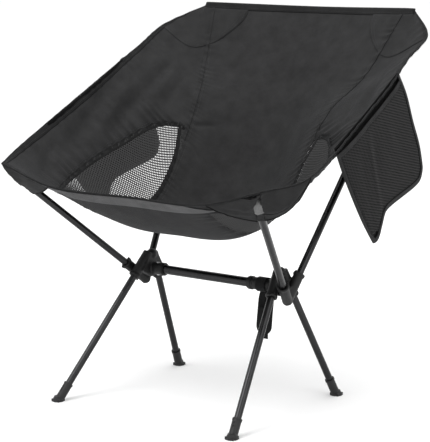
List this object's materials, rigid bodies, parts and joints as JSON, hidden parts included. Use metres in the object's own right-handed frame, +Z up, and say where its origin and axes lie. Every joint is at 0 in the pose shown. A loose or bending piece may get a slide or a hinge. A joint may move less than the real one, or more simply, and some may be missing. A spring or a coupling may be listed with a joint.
{
  "type": "ultralight backpacking chair",
  "caption": "Packable camp chair: a bucket sling with mesh hips and side pockets on slim corded poles and splayed legs joined by two hubs and a crossbar.",
  "frame": {"origin": "on the ground under the middle of the chair's bounding box", "axes": "+Z up and the tallest direction, -Y the way the sitter faces, +X the sitter's left; the depth along Y is the shortest extent"},
  "size_m": [0.6168, 0.5569, 0.659],
  "materials": {
    "tube_aluminium": "satin dark grey anodised tube",
    "hub_plastic": "moulded black nylon",
    "foot_plastic": "moulded dark grey plastic",
    "rivet_steel": "plain steel pin",
    "ferrule_aluminium": "plain drawn tube",
    "cord_elastic": "braided elastic cord",
    "sling_cloth": "fine plain-woven polyester, faint sheen",
    "hem_cloth": "folded and double-stitched edge",
    "mesh_net": "open knitted net",
    "strap_webbing": "woven hook-and-loop strap"
  },
  "bodies": {
    "frame": {"crossbar": "tube_aluminium", "hub_left": "hub_plastic", "hub_right": "hub_plastic", "crossbar_collar_left": "hub_plastic", "crossbar_collar_right": "hub_plastic", "crossbar_rivets": "rivet_steel", "shock_cord_left": "cord_elastic", "shock_cord_right": "cord_elastic"},
    "front_leg_left": {"front_leg_left": "tube_aluminium", "front_foot_left": "foot_plastic"},
    "rear_leg_left": {"rear_leg_left": "tube_aluminium", "rear_foot_left": "foot_plastic"},
    "seat_pole_left": {"seat_pole_left": "tube_aluminium", "seat_pole_tip_left": "foot_plastic"},
    "back_pole_lower_left": {"back_pole_lower_left": "tube_aluminium", "back_ferrule_left": "ferrule_aluminium"},
    "back_pole_upper_left": {"back_pole_upper_left": "tube_aluminium", "back_pole_tip_left": "foot_plastic"},
    "front_leg_right": {"front_leg_right": "tube_aluminium", "front_foot_right": "foot_plastic"},
    "rear_leg_right": {"rear_leg_right": "tube_aluminium", "rear_foot_right": "foot_plastic"},
    "seat_pole_right": {"seat_pole_right": "tube_aluminium", "seat_pole_tip_right": "foot_plastic"},
    "back_pole_lower_right": {"back_pole_lower_right": "tube_aluminium", "back_ferrule_right": "ferrule_aluminium"},
    "back_pole_upper_right": {"back_pole_upper_right": "tube_aluminium", "back_pole_tip_right": "foot_plastic"},
    "sling": {"center_panel": "sling_cloth", "side_panel_left": "sling_cloth", "side_panel_right": "sling_cloth", "mesh_window_left": "mesh_net", "mesh_window_right": "mesh_net", "front_hem": "hem_cloth", "top_hem": "hem_cloth", "side_hem_left": "hem_cloth", "side_hem_right": "hem_cloth", "seam_tape_left": "hem_cloth", "seam_tape_right": "hem_cloth", "top_corner_patch_left": "sling_cloth", "top_corner_patch_right": "sling_cloth", "seat_pocket_left": "hem_cloth", "seat_pocket_right": "hem_cloth", "back_pocket_left": "hem_cloth", "back_pocket_right": "hem_cloth"},
    "side_pocket_left": {"bag_back_left": "sling_cloth", "bag_mesh_left": "mesh_net", "bag_gusset_left": "hem_cloth", "bag_mouth_band_left": "hem_cloth"},
    "side_pocket_right": {"bag_back_right": "sling_cloth", "bag_mesh_right": "mesh_net", "bag_gusset_right": "hem_cloth", "bag_mouth_band_right": "hem_cloth"},
    "bundle_strap": {"bundle_strap": "strap_webbing", "strap_pad": "strap_webbing"}
  },
  "joints": [
    {"name": "seat_lift", "type": "slide", "parent": "frame", "child": "sling", "axis": [0, 0, 1], "range_m": [0, 0.42], "deforming": ["seat_pocket_left", "seat_pocket_right", "back_pocket_left", "back_pocket_right"]},
    {"name": "front_leg_pull_left", "type": "slide", "parent": "frame", "child": "front_leg_left", "axis": [0.1486, -0.6228, -0.7682], "range_m": [0, 0.042], "stiffness_N_per_m": 60, "springref_m": -0.05},
    {"name": "rear_leg_pull_left", "type": "slide", "parent": "frame", "child": "rear_leg_left", "axis": [0.1297, 0.442, -0.8876], "range_m": [0, 0.042], "stiffness_N_per_m": 60, "springref_m": -0.05},
    {"name": "seat_pole_pull_left", "type": "slide", "parent": "frame", "child": "seat_pole_left", "axis": [0.3063, -0.7062, 0.6383], "range_m": [0, 0.04]},
    {"name": "back_pole_pull_left", "type": "slide", "parent": "frame", "child": "back_pole_lower_left", "axis": [0.1242, 0.5279, 0.8402], "range_m": [0, 0.04]},
    {"name": "back_upper_pull_left", "type": "slide", "parent": "back_pole_lower_left", "child": "back_pole_upper_left", "axis": [0.1242, 0.5279, 0.8402], "range_m": [0, 0.04]},
    {"name": "front_leg_pull_right", "type": "slide", "parent": "frame", "child": "front_leg_right", "axis": [-0.1486, -0.6228, -0.7682], "range_m": [0, 0.042], "stiffness_N_per_m": 60, "springref_m": -0.05},
    {"name": "rear_leg_pull_right", "type": "slide", "parent": "frame", "child": "rear_leg_right", "axis": [-0.1297, 0.442, -0.8876], "range_m": [0, 0.042], "stiffness_N_per_m": 60, "springref_m": -0.05},
    {"name": "seat_pole_pull_right", "type": "slide", "parent": "frame", "child": "seat_pole_right", "axis": [-0.3063, -0.7062, 0.6383], "range_m": [0, 0.04]},
    {"name": "back_pole_pull_right", "type": "slide", "parent": "frame", "child": "back_pole_lower_right", "axis": [-0.1242, 0.5279, 0.8402], "range_m": [0, 0.04]},
    {"name": "back_upper_pull_right", "type": "slide", "parent": "back_pole_lower_right", "child": "back_pole_upper_right", "axis": [-0.1242, 0.5279, 0.8402], "range_m": [0, 0.04]},
    {"name": "pocket_swing_left", "type": "hinge", "parent": "sling", "child": "side_pocket_left", "pos_m": [0.3052, -0.1223, 0.455], "axis": [0.0449, -0.8867, -0.4602], "range_deg": [-8, 70]},
    {"name": "pocket_swing_right", "type": "hinge", "parent": "sling", "child": "side_pocket_right", "pos_m": [-0.3052, -0.1223, 0.455], "axis": [0.0449, 0.8867, 0.4602], "range_deg": [-8, 70]},
    {"name": "strap_swing", "type": "hinge", "parent": "frame", "child": "bundle_strap", "pos_m": [0.102, -0.0384, 0.206], "axis": [1, 0, 0], "range_deg": [-75, 75]}
  ],
  "couplings": [
    {"joint": "seat_pole_pull_left", "follows": "seat_lift", "ratio": 0.095},
    {"joint": "back_pole_pull_left", "follows": "seat_lift", "ratio": 0.095},
    {"joint": "back_upper_pull_left", "follows": "seat_lift", "ratio": 0.095},
    {"joint": "seat_pole_pull_right", "follows": "seat_lift", "ratio": 0.095},
    {"joint": "back_pole_pull_right", "follows": "seat_lift", "ratio": 0.095},
    {"joint": "back_upper_pull_right", "follows": "seat_lift", "ratio": 0.095}
  ]
}
